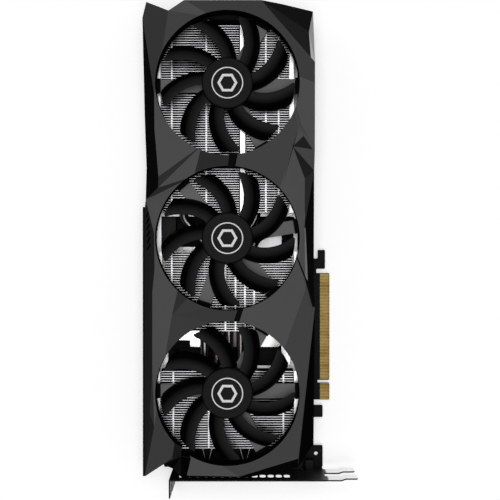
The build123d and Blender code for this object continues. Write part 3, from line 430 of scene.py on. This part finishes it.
materials = {
    "shroud": shroud_plastic(),
    # Painted shade: cheek, blade and arm paint their steep walls darker (walls under 1); trim paints its
    # steep walls lighter, a painted highlight (walls over 1).
    "cheek": moulded_plastic("cheek_plastic", (0.105, 0.105, 0.106), 0.5, specular=0.0, walls=0.1),
    "cheek_painted_highlight": moulded_plastic("cheek_edge_plastic", (0.24, 0.24, 0.24), 0.5, specular=0.0),
    "trim": moulded_plastic("trim_plastic", (0.012, 0.012, 0.012), 0.45, specular=0.0, walls=1.6),
    "blade": moulded_plastic("blade_plastic", (0.016, 0.016, 0.016), 0.4, 0.00001, 0.03, 0.1),
    "cap": moulded_plastic("cap_plastic", (0.010, 0.010, 0.010), 0.42, specular=0.05),
    "arm": moulded_plastic("arm_plastic", (0.20, 0.20, 0.202), 0.5, specular=0.02, walls=0.1),
    "header": moulded_plastic("header_plastic", (0.012, 0.012, 0.012), 0.45, specular=0.1),
    "black_coat": moulded_plastic("black_coat", (0.006, 0.006, 0.006), 0.4, 0.00005, 0.03),
    "inlay": moulded_plastic("inlay_plastic", (0.003, 0.003, 0.003), 0.5, specular=0.02),
    "fins_tail": fins_with_painted_shade("fin_stack_tail", 1),
    "fins_middle": fins_with_painted_shade("fin_stack_middle", 0),
    "fins_io": fins_with_painted_shade("fin_stack_io", 0),
    "bracket": slot_bracket_finish(),
    "sheet": bare_metal("sheet_aluminium", (0.92, 0.92, 0.93), 0.3, (1, 0.05, 1)),
    # The heat-pipe nickel is darkened as painted shade, since the pipes sit in the fins' shade.
    "nickel": bare_metal("nickel_plate_painted_shade", (0.20, 0.185, 0.18), 0.25, (1, 0.05, 1)),
    "cold": cold_plate_finish(),
    "frame_sheet": cooler_frame_finish(),
    "rail": bare_metal("rail_aluminium", (0.99, 0.99, 0.98), 0.36, (1, 0.05, 1)),
    "black_nickel": bare_metal("black_nickel", (0.012, 0.012, 0.013), 0.35),
    "steel": bare_metal("dark_steel", (0.25, 0.25, 0.26), 0.4),
    "shaft": bare_metal("shaft_steel", (0.75, 0.75, 0.77), 0.2),
    "bronze": bare_metal("bearing_bronze", (0.55, 0.38, 0.2), 0.45),
    "can": bare_metal("capacitor_can", (0.8, 0.8, 0.81), 0.35),
    "ferrite": moulded_plastic("ferrite_grey", (0.06, 0.06, 0.062), 0.55, 0.00006),
    "chip": moulded_plastic("chip_epoxy", (0.012, 0.012, 0.013), 0.5),
    "substrate": moulded_plastic("package_laminate", (0.03, 0.10, 0.055), 0.4),
    "die": moulded_plastic("silicon", (0.05, 0.05, 0.065), 0.12, 0.000004),
    "pad": moulded_plastic("thermal_pad", (0.30, 0.34, 0.40), 0.8, 0.00008),
    "board": circuit_board(),
    "gold": gold_plating(),
    "print": printed_white(),
}
node_looks = {
    "shroud": "shroud", "shroud_side_trim": "trim", "fan_screws": "steel", "heat_pipe_flat": "rail",
    "fin_stack_tail": "fins_tail", "fin_stack_middle": "fins_middle", "fin_stack_io": "fins_io",
    "cold_plate": "cold",
    "cooler_frame": "frame_sheet", "frame_spacers": "steel", "board_spacers": "steel", "pcb": "board",
    "edge_contacts": "gold", "gpu_substrate": "substrate", "gpu_die": "die", "memory_chips": "chip",
    "thermal_pads": "pad", "power_stages": "chip", "power_stage_bar": "sheet", "chokes": "ferrite",
    "capacitors": "can", "fan_headers": "header", "supply_socket": "header", "supply_pins": "gold",
    "display_ports": "black_nickel", "hdmi_port": "black_nickel", "socket_tongues": "header",
    "io_bracket": "bracket", "bracket_lugs": "black_nickel", "bracket_screws": "steel",
    "backplate": "black_coat", "rear_bracket": "steel", "cooler_screws": "steel", "backplate_screws": "steel",
}
node_looks.update({f"heat_pipe_{i}": "nickel" for i in (1, 2, 3, 4, 5)})
for number in FANS:
    node_looks.update({
        f"fan_{number}_rotor": "blade", f"fan_{number}_hub_cap": "cap", f"fan_{number}_shaft": "shaft",
        f"fan_{number}_magnet": "ferrite", f"fan_{number}_bearing": "bronze",
        f"fan_{number}_stator": "steel", f"fan_{number}_frame": "arm",
    })


def finish_nodes():
    """Gives every CAD node its material."""
    for name, look in node_looks.items():
        mesh = nodes[name].data
        mesh.materials.clear()
        mesh.materials.append(materials[look])


# ---- mesh helpers -----------------------------------------------------------------------------
def new_piece(name, mesh, look, body):
    """Object for a finished mesh that rides on a CAD body."""
    piece = bpy.data.objects.new(name, mesh)
    bpy.context.scene.collection.objects.link(piece)
    mesh.materials.clear()
    mesh.materials.append(materials[look])
    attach(piece, body)
    return piece


# Angles in radians: faces that count as one plane, creases of the casing and of its walls, rounded edges.
FLAT_ANGLE, CREASE_ANGLE, WALL_CREASE_ANGLE, ROUND_ANGLE = 0.012, 0.035, 0.45, 0.6


def softened(node, name, look, body, width):
    """Copy of a CAD node with clean faces and small rounds on its edges. It replaces the node."""
    mesh = nodes[node].data.copy()
    if mesh.has_custom_normals:
        mesh.attributes.remove(mesh.attributes["custom_normal"])
    shape = bmesh.new()
    shape.from_mesh(mesh)
    bmesh.ops.remove_doubles(shape, verts=shape.verts, dist=2e-6)
    bmesh.ops.dissolve_limit(
        shape, angle_limit=FLAT_ANGLE, use_dissolve_boundaries=False, verts=shape.verts, edges=shape.edges
    )
    bmesh.ops.recalc_face_normals(shape, faces=shape.faces)
    for face in shape.faces:
        face.smooth = True
    for edge in shape.edges:
        turned = edge.calc_face_angle(0.0)
        walls = all(abs(face.normal.z) < 0.02 for face in edge.link_faces)
        edge.smooth = turned < (WALL_CREASE_ANGLE if walls else CREASE_ANGLE)
    shape.to_mesh(mesh)
    shape.free()
    piece = new_piece(name, mesh, look, body)
    bevel = piece.modifiers.new("rounds", "BEVEL")
    bevel.width = width
    bevel.segments = 2
    bevel.limit_method = "ANGLE"
    bevel.angle_limit = ROUND_ANGLE
    bevel.harden_normals = True
    bevel.use_clamp_overlap = True
    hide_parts(node)
    return piece


# Panels of the shroud whose painted shade doesn't follow from their lean: a plan point in mm on the panel,
# and how light the panel is painted beside the lightest level one. The two glints are painted highlights on
# thin edges.
PAINTED_PANEL_SHADES = {
    "tail spike": ((-59, 141), 0.5), "tail spike end": ((-62, 152), 0.5),
    "tail roof left": ((-46, 144), 0.75), "tail roof": ((-18, 155), 0.65),
    "tail ear end": ((26, 153), 0.1), "tail ear": ((28, 140), 0.2), "tail ear glint": ((39.7, 137), 4.0),
    "tail edge glint": ((39, 126), 6.0), "tail step": ((33.5, 67), 0.2), "tail step end": ((34, 54), 0.2),
    "valley": ((-19, 58), 0.35), "valley left": ((-26, 55), 0.35), "valley end": ((-50, 50), 0.4),
    "middle roof": ((15, 55), 0.75), "dart": ((-43.5, -33.5), 0.4), "middle panel": ((-44, -49), 0.6),
    "middle panel left": ((-42, -35), 0.6), "middle panel right": ((-26, -42), 0.55),
    "io roof top": ((33, -41), 0.75), "io roof right": ((34, -88), 0.75),
    "io roof low": ((24, -124), 0.75), "io roof end": ((21, -127), 0.75),
    "io cheek top": ((-58, -108), 0.6), "io cheek": ((-56, -113), 0.6),
    "io cheek low": ((-58, -126), 0.6), "io cheek end": ((-55, -133), 0.6),
    "io step": ((-44, -128), 0.25), "io step end": ((-47, -129), 0.25),
    "io step low": ((-50, -134), 0.35), "chin": ((11, -135), 0.75), "io ledge": ((37.7, -101), 0.02),
    "io corner": ((-40.6, -135.7), 0.02), "io corner low": ((-45, -140), 0.1),
}
# A facet's lean is 1 less its upness, and a leaning facet is painted darker as shade.
# Below WALL_UPNESS it is a wall, painted with the side or opening wall shade.
LEVEL_LEAN, DARK_LEAN, DARK_LEAN_SHADE = 0.06, 0.22, 0.04
SIDE_WALL_SHADE, OPENING_WALL_SHADE, WALL_UPNESS = 0.6, 0.04, 0.3
OPENING_MARGIN, ABOVE = 2.0 * MM, 0.1
# Creases between facets that lie in one plane, as plan points in mm.
LEVEL_CREASES = (((26.0, 111.3), (41.0, 105.6)), ((17.2, 33.7), (27.0, 65.4)))


def face_under(tree, x, y):
    """Index of the top face at a plan point in mm, or None."""
    return tree.ray_cast((x * MM, y * MM, ABOVE), (0, 0, -1))[2]


def cut_creases(mesh):
    """Splits the level roof along its creases, so each side can have its own painted shade."""
    shape = bmesh.new()
    shape.from_mesh(mesh)
    for (x0, y0), (x1, y1) in LEVEL_CREASES:
        index = face_under(BVHTree.FromBMesh(shape), (x0 + x1) / 2, (y0 + y1) / 2)
        shape.faces.ensure_lookup_table()
        face = shape.faces[index]
        bmesh.ops.bisect_plane(
            shape, geom=[face, *face.edges, *face.verts], plane_co=(x0 * MM, y0 * MM, 0),
            plane_no=(y1 - y0, x0 - x1, 0),
        )
    shape.to_mesh(mesh)
    shape.free()


def lean_shade(upness):
    """Painted shade: a facet that leans away from the light overhead is soon painted dark."""
    share = (1.0 - upness - LEVEL_LEAN) / (DARK_LEAN - LEVEL_LEAN)
    return 1.0 + (DARK_LEAN_SHADE - 1.0) * min(max(share, 0.0), 1.0)


def paint_facet_shades(piece):
    """Stores the painted shade of every face of the shroud for its material, with painted highlights on the
    two glints.
    """
    mesh = piece.data
    cut_creases(mesh)
    tree = BVHTree.FromPolygons([v.co for v in mesh.vertices], [tuple(p.vertices) for p in mesh.polygons])
    fan_spots = [middle(f"fan_{number}_hub_cap") for number in FANS]
    facet_shades = []
    for face in mesh.polygons:
        away = min(math.hypot(face.center.x - spot.x, face.center.y - spot.y) for spot in fan_spots)
        wall = OPENING_WALL_SHADE if away < OPENING_R + OPENING_MARGIN else SIDE_WALL_SHADE
        facet_shades.append(wall if face.normal.z < WALL_UPNESS else lean_shade(face.normal.z))
    for (x, y), tone in PAINTED_PANEL_SHADES.values():
        index = face_under(tree, x, y)
        if index is not None:
            facet_shades[index] = tone
    # The face attribute tone holds the painted shade.
    layer = mesh.attributes.new("tone", "FLOAT", "FACE")
    layer.data.foreach_set("value", facet_shades)


# ---- fans -------------------------------------------------------------------------------------
BLADES = 9
SWEEP = math.radians(28)
TIP_ANGLE = math.radians(-7)
SWEEP_POWER = 1.15
TIP_ROUND = 0.1
# Along the blade from root to tip: pitch angle in degrees and chord in mm, each with its change.
PITCH, PITCH_LOSS = 40, 9
CHORD, CHORD_GAIN = 12.8, 3.6
HALF_THICKNESS, CAMBER, BLADE_SINK = 0.85 * MM, 2.2 * MM, 0.9 * MM
CUP_WALL = 1.4 * MM
# Rounded top edge of the cup, in mm in from the wall and down from the top.
CUP_ROUND = ((0, 0.9), (0.12, 0.45), (0.45, 0.12), (0.9, 0))
CAP_STEPS, CAP_SLOPE, FIELD_R = 96, 0.14 * MM, 11.6 * MM
PEG_REACH, PEG_R, PEG_HOLE_R = 23.0 * MM, 1.9 * MM, 1.1 * MM
CLIP_INSET, CLIP_DEPTH, CLIP_T = 1.25 * MM, 2.3 * MM, 1.4 * MM
CLIP_W, CABLE_CLIP_W = 9.4 * MM, 10.4 * MM
SPAN_STEPS = 26
ROUND_STEPS = 28


def blade_point(turn, share, around):
    """Point on one blade: share runs root to tip, around runs once round the section."""
    root_r = HUB_R - 1.0 * MM
    radius = root_r + share * (TIP_R - root_r)
    angle = turn + SWEEP * (share ** SWEEP_POWER - 1)
    tilt = math.radians(PITCH - PITCH_LOSS * share)
    chord = (CHORD + CHORD_GAIN * share) * MM
    corner = max(0.0, (share - (1 - TIP_ROUND)) / TIP_ROUND)
    round_off = 1.0 - math.sqrt(max(0.0, 1.0 - corner * corner))
    along = 0.5 * math.cos(around) * (1.0 - 0.2 * round_off)
    arch = 1 - 4 * along * along
    thick = HALF_THICKNESS * (1 - 0.3 * share) * (0.55 + 0.45 * math.sqrt(max(0.0, arch)))
    camber = CAMBER * arch
    lift = camber + math.sin(around) * thick
    across = along * chord * math.cos(tilt) - lift * math.sin(tilt)
    height = along * chord * math.sin(tilt) + lift * math.cos(tilt)
    mid_z = (ROTOR_LOW + CUP_TOP) / 2 - BLADE_SINK
    where = angle + across / radius
    return (radius * math.cos(where), radius * math.sin(where), mid_z + height)


def add_blade(shape, turn):
    """Closed, smooth blade between the hub wall and the tip circle."""
    rings = []
    for i in range(SPAN_STEPS + 1):
        share = i / SPAN_STEPS
        turns = [2 * math.pi * j / ROUND_STEPS for j in range(ROUND_STEPS)]
        rings.append([shape.verts.new(blade_point(turn, share, around)) for around in turns])
    for low, high in zip(rings, rings[1:]):
        for j in range(ROUND_STEPS):
            k = (j + 1) % ROUND_STEPS
            shape.faces.new((low[j], low[k], high[k], high[j]))
    shape.faces.new(rings[-1])
    shape.faces.new(rings[0][::-1])


def add_turned(shape, profile, steps=96):
    """Surface turned about the Z axis from (radius, height) points."""
    rings = []
    for radius, height in profile:
        if radius < 1e-6:
            rings.append([shape.verts.new((0, 0, height))])
            continue
        turns = [2 * math.pi * i / steps for i in range(steps)]
        rings.append([shape.verts.new((radius * math.cos(t), radius * math.sin(t), height)) for t in turns])
    for low, high in zip(rings, rings[1:]):
        for i in range(steps):
            k = (i + 1) % steps
            if len(low) == 1:
                shape.faces.new((low[0], high[k], high[i]))
            elif len(high) == 1:
                shape.faces.new((low[i], low[k], high[0]))
            else:
                shape.faces.new((low[i], low[k], high[k], high[i]))


def finished_mesh(shape, name, sharp=0.6):
    """Mesh from a bmesh, smooth except across edges sharper than the given angle."""
    bmesh.ops.recalc_face_normals(shape, faces=shape.faces)
    for face in shape.faces:
        face.smooth = True
    for edge in shape.edges:
        edge.smooth = edge.calc_face_angle(0.0) < sharp
    mesh = bpy.data.meshes.new(name)
    shape.to_mesh(mesh)
    shape.free()
    return mesh


def rotor_mesh():
    """Hub cup and nine blades about the fan's own axis."""
    shape = bmesh.new()
    r, low, top, break_edge = HUB_R, ROTOR_LOW, CUP_TOP, 0.3 * MM
    inside = [(0, top - CUP_WALL), (r - CUP_WALL, top - CUP_WALL), (r - CUP_WALL, low)]
    bottom = [(r - break_edge, low), (r, low + break_edge)]
    rounded = [(r - inward * MM, top - down * MM) for inward, down in CUP_ROUND]
    add_turned(shape, [*inside, *bottom, *rounded, (0, top)])
    for i in range(BLADES):
        add_blade(shape, TIP_ANGLE + i * 2 * math.pi / BLADES)
    return finished_mesh(shape, "rotor")


def cap_mesh():
    """Hub cap: low disc with a rolled rim and a six-sided field, a hair higher than the slopes around it."""
    shape = bmesh.new()
    r, top, low = HUB_R - CAP_INSET, CAP_TOP, CUP_TOP
    profile = [(0, low), (r, low), (r, top - CAP_SLOPE - 0.2 * MM), (r - 0.15 * MM, top - CAP_SLOPE)]
    add_turned(shape, profile, CAP_STEPS)
    shape.verts.ensure_lookup_table()
    rim = list(shape.verts)[-CAP_STEPS:]
    field = [shape.verts.new((x, y, top)) for x, y in circle_points(FIELD_R, 6, math.pi / 6)]
    shape.faces.new(field)
    run = CAP_STEPS // 6
    for side in range(6):
        first = CAP_STEPS // 12 + side * run
        arc = [rim[(first + i) % CAP_STEPS] for i in range(run + 1)]
        shape.faces.new([field[side], *arc, field[(side + 1) % 6]])
    return finished_mesh(shape, "cap", 0.005)


def close_solid(shape, floor, roof):
    """Faces of a solid between two loops of corners, one over the other."""
    shape.faces.new(roof)
    shape.faces.new(floor[::-1])
    for i in range(len(floor)):
        k = (i + 1) % len(floor)
        shape.faces.new((floor[i], floor[k], roof[k], roof[i]))


def add_prism(shape, corners, low, high):
    """Upright prism over a flat outline."""
    floor = [shape.verts.new((x, y, low)) for x, y in corners]
    roof = [shape.verts.new((x, y, high)) for x, y in corners]
    close_solid(shape, floor, roof)


def circle_points(radius, steps, start=0.0):
    """Plan points spaced evenly round a circle."""
    turns = [start + 2 * math.pi * i / steps for i in range(steps)]
    return [(radius * math.cos(turn), radius * math.sin(turn)) for turn in turns]


def mark_mesh():
    """Generic printed mark: a thin ring on the field's edge and a small open hexagon."""
    shape = bmesh.new()
    low, high = CAP_TOP - 0.2 * MM, CAP_TOP + 0.04 * MM
    for inner, outer, steps in ((9.3 * MM, 10.0 * MM, 96), (4.6 * MM, 6.4 * MM, 6)):
        add_turned(shape, [(inner, low), (outer, low), (outer, high), (inner, high), (inner, low)], steps)
    bmesh.ops.remove_doubles(shape, verts=shape.verts, dist=1e-7)
    return finished_mesh(shape, "mark", 0.5)


def shifted(mesh, spot):
    """Copy of a mesh made about the Z axis, moved to a fan's centre."""
    copy = mesh.copy()
    copy.transform(Matrix.Translation((spot.x, spot.y, 0)))
    return copy


def add_box(shape, size, spot, turn=0.0):
    """Box of a given size centred on spot, turned about the Z axis."""
    move = Matrix.Translation(spot) @ Matrix.Rotation(turn, 4, "Z") @ Matrix.Diagonal((*size, 1.0))
    bmesh.ops.create_cube(shape, size=1.0, matrix=move)


def arm_details(number):
    """Black clips where the arms meet the opening, and a peg on each arm."""
    spot = middle(f"fan_{number}_hub_cap")
    turn = ARM_TURNS[number]
    clips, pegs = bmesh.new(), bmesh.new()
    reach = OPENING_R - CLIP_INSET
    for step in (*ARM_STEPS, CABLE_ARM_STEP):
        angle = math.radians(turn + step)
        width = CABLE_CLIP_W if step == CABLE_ARM_STEP else CLIP_W
        place = (spot.x + reach * math.cos(angle), spot.y + reach * math.sin(angle), FRAME_TOP + CLIP_T / 2)
        add_box(clips, (CLIP_DEPTH, width, CLIP_T), place, angle)
    for step in ARM_STEPS:
        angle = math.radians(turn + step)
        place = Vector((spot.x + PEG_REACH * math.cos(angle), spot.y + PEG_REACH * math.sin(angle), 0))
        ring = bmesh.new()
        low, high = FRAME_TOP - 0.1 * MM, FRAME_TOP + 0.6 * MM
        outside = [(0, low), (PEG_R, low), (PEG_R, high)]
        add_turned(ring, [*outside, (PEG_HOLE_R, high), (PEG_HOLE_R, low)], 32)
        ring.transform(Matrix.Translation(place))
        joined(pegs, ring)
    new_piece(f"fan_{number}_clips", finished_mesh(clips, "clips"), "inlay", "card")
    new_piece(f"fan_{number}_pegs", finished_mesh(pegs, "pegs"), "arm", "card")


def joined(shape, extra):
    """Adds one bmesh to another and frees it."""
    mesh = bpy.data.meshes.new("joined")
    extra.to_mesh(mesh)
    extra.free()
    shape.from_mesh(mesh)
    bpy.data.meshes.remove(mesh)


def make_fans():
    """Rotor, cap, mark and frame of each fan."""
    rotor, cap, mark = rotor_mesh(), cap_mesh(), mark_mesh()
    for number in FANS:
        body = f"fan_{number}"
        spot = middle(f"fan_{number}_hub_cap")
        piece = new_piece(f"fan_{number}_blades", shifted(rotor, spot), "blade", body)
        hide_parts(f"fan_{number}_rotor")
        piece = new_piece(f"fan_{number}_cap", shifted(cap, spot), "cap", body)
        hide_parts(f"fan_{number}_hub_cap")
        new_piece(f"fan_{number}_mark", shifted(mark, spot), "print", body)
        softened(f"fan_{number}_frame", f"fan_{number}_arms", "arm", "card", 0.25 * MM)
        arm_details(number)


# ---- small pieces of the card -----------------------------------------------------------------
# Black inlays of the two slots in the roof, as plan points in mm.
SLOT_INLAYS = (
    ((-13.2, 61.0), (-7.4, 61.0), (-9.2, 52.6), (-14.3, 52.6)),
    ((-7.6, -36.4), (-3.7, -36.4), (-6.7, -45.1), (-10.5, -45.1)),
)
INLAY_LOW, INLAY_TOP = 39.95 * MM, 40.3 * MM
HOOK_XS = (-27.8 * MM, -3.3 * MM)
WIRE_W, WIRE_Z = 0.5 * MM, 24.5 * MM
# Right cheek of the shroud, in mm: a level patch, a painted highlight strip beside it, and a painted shadow
# line below them.
CHEEK_PATCH = ((31.5, -6.4), (34.4, 15.4), (34.9, -16.8), (35.3, -24.3))
CHEEK_PATCH_Z = (41.0, 42.6)
CHEEK_HIGHLIGHT = ((34.3, 27.0, 42.2), (34.8, -17.2, 42.4), (36.6, -19.3, 40.4), (35.5, 6.0, 41.4))
CHEEK_HIGHLIGHT_T = 1.6
CHEEK_SHADOW_LINE = ((29.0, -4.2), (29.9, -4.2), (35.7, -18.4), (40.6, -35.6), (39.6, -36.2), (34.7, -18.6))
CHEEK_SHADOW_LINE_Z = (41.6, 42.75)
# Rails beside each fin stack: width, thickness, gap to the fins, and middle below the fin tops.
RAIL_W, RAIL_T, RAIL_GAP, RAIL_DROP = 2.6 * MM, 0.8 * MM, 0.4 * MM, 1.6 * MM


def in_metres(corners):
    """Corner points in mm as points in metres."""
    return [tuple(value * MM for value in corner) for corner in corners]


def add_slab(shape, corners, thickness):
    """Slab that hangs under a corner loop given as X, Y, Z."""
    roof = [shape.verts.new(corner) for corner in corners]
    floor = [shape.verts.new((x, y, z - thickness)) for x, y, z in corners]
    close_solid(shape, floor, roof)


def make_rails():
    """Bright folded edges of the cooler frame, standing beside each fin stack."""
    rails = bmesh.new()
    for stack in STACKS:
        low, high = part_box(stack)
        length, y = high.y - low.y, (low.y + high.y) / 2
        for x in (low.x - RAIL_W / 2 - RAIL_GAP, high.x + RAIL_W / 2 + RAIL_GAP):
            add_box(rails, (RAIL_W, length, RAIL_T), (x, y, high.z - RAIL_DROP))
    new_piece("frame_rails", finished_mesh(rails, "rails"), "rail", "card")


def make_cheek():
    """Level patch, painted highlight strip and painted shadow line at the shroud's right cheek."""
    patch, edge, painted_shadow = bmesh.new(), bmesh.new(), bmesh.new()
    add_prism(patch, in_metres(CHEEK_PATCH), *(z * MM for z in CHEEK_PATCH_Z))
    # The edge slab is a painted highlight strip, and the seam prism is a painted shadow line.
    add_slab(edge, in_metres(CHEEK_HIGHLIGHT), CHEEK_HIGHLIGHT_T * MM)
    add_prism(painted_shadow, in_metres(CHEEK_SHADOW_LINE), *(z * MM for z in CHEEK_SHADOW_LINE_Z))
    new_piece("cheek_painted_shadow", finished_mesh(painted_shadow, "painted_shadow"), "inlay", "card")
    new_piece("cheek_patch", finished_mesh(patch, "patch"), "cheek", "card")
    new_piece("cheek_painted_highlight", finished_mesh(edge, "edge"), "cheek_painted_highlight", "card")


def make_small_pieces():
    """Black inlays in the two slots, and wire hooks at the ends of the fin stacks."""
    inlays = bmesh.new()
    for corners in SLOT_INLAYS:
        add_prism(inlays, in_metres(corners), INLAY_LOW, INLAY_TOP)
    new_piece("slot_inlays", finished_mesh(inlays, "inlays"), "inlay", "card")
    io_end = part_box("fin_stack_io")[0].y
    tail_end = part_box("fin_stack_tail")[1].y
    wires = bmesh.new()
    for x in HOOK_XS:
        for side in (-1, 1):
            start = Vector((x + side * 3.1 * MM, io_end - 0.3 * MM, WIRE_Z))
            end = Vector((x + side * 1.2 * MM, io_end - 7.6 * MM, WIRE_Z))
            run = end - start
            add_box(wires, (run.length, 0.3 * MM, WIRE_W), (start + end) / 2, math.atan2(run.y, run.x))
        add_box(wires, (2.6 * MM, WIRE_W, WIRE_W), (x, tail_end + 3.4 * MM, WIRE_Z), 0.5)
        add_box(wires, (0.6 * MM, 2.4 * MM, WIRE_W), (x + 1.4 * MM, tail_end + 2.4 * MM, WIRE_Z), 0.2)
    new_piece("stack_hooks", finished_mesh(wires, "hooks"), "steel", "card")


# ---- build ------------------------------------------------------------------------------------
make_camera()
make_studio()
finish_nodes()
paint_facet_shades(softened("shroud", "shroud_shell", "shroud", "card", 0.22 * MM))
softened("shroud_side_trim", "side_trim", "trim", "card", 0.2 * MM)
softened("io_bracket", "slot_bracket", "bracket", "card", 0.15 * MM)
softened("backplate", "rear_plate", "black_coat", "card", 0.15 * MM)
make_fans()
make_small_pieces()
make_cheek()
make_rails()

bpy.context.scene.view_settings.view_transform = "Standard"
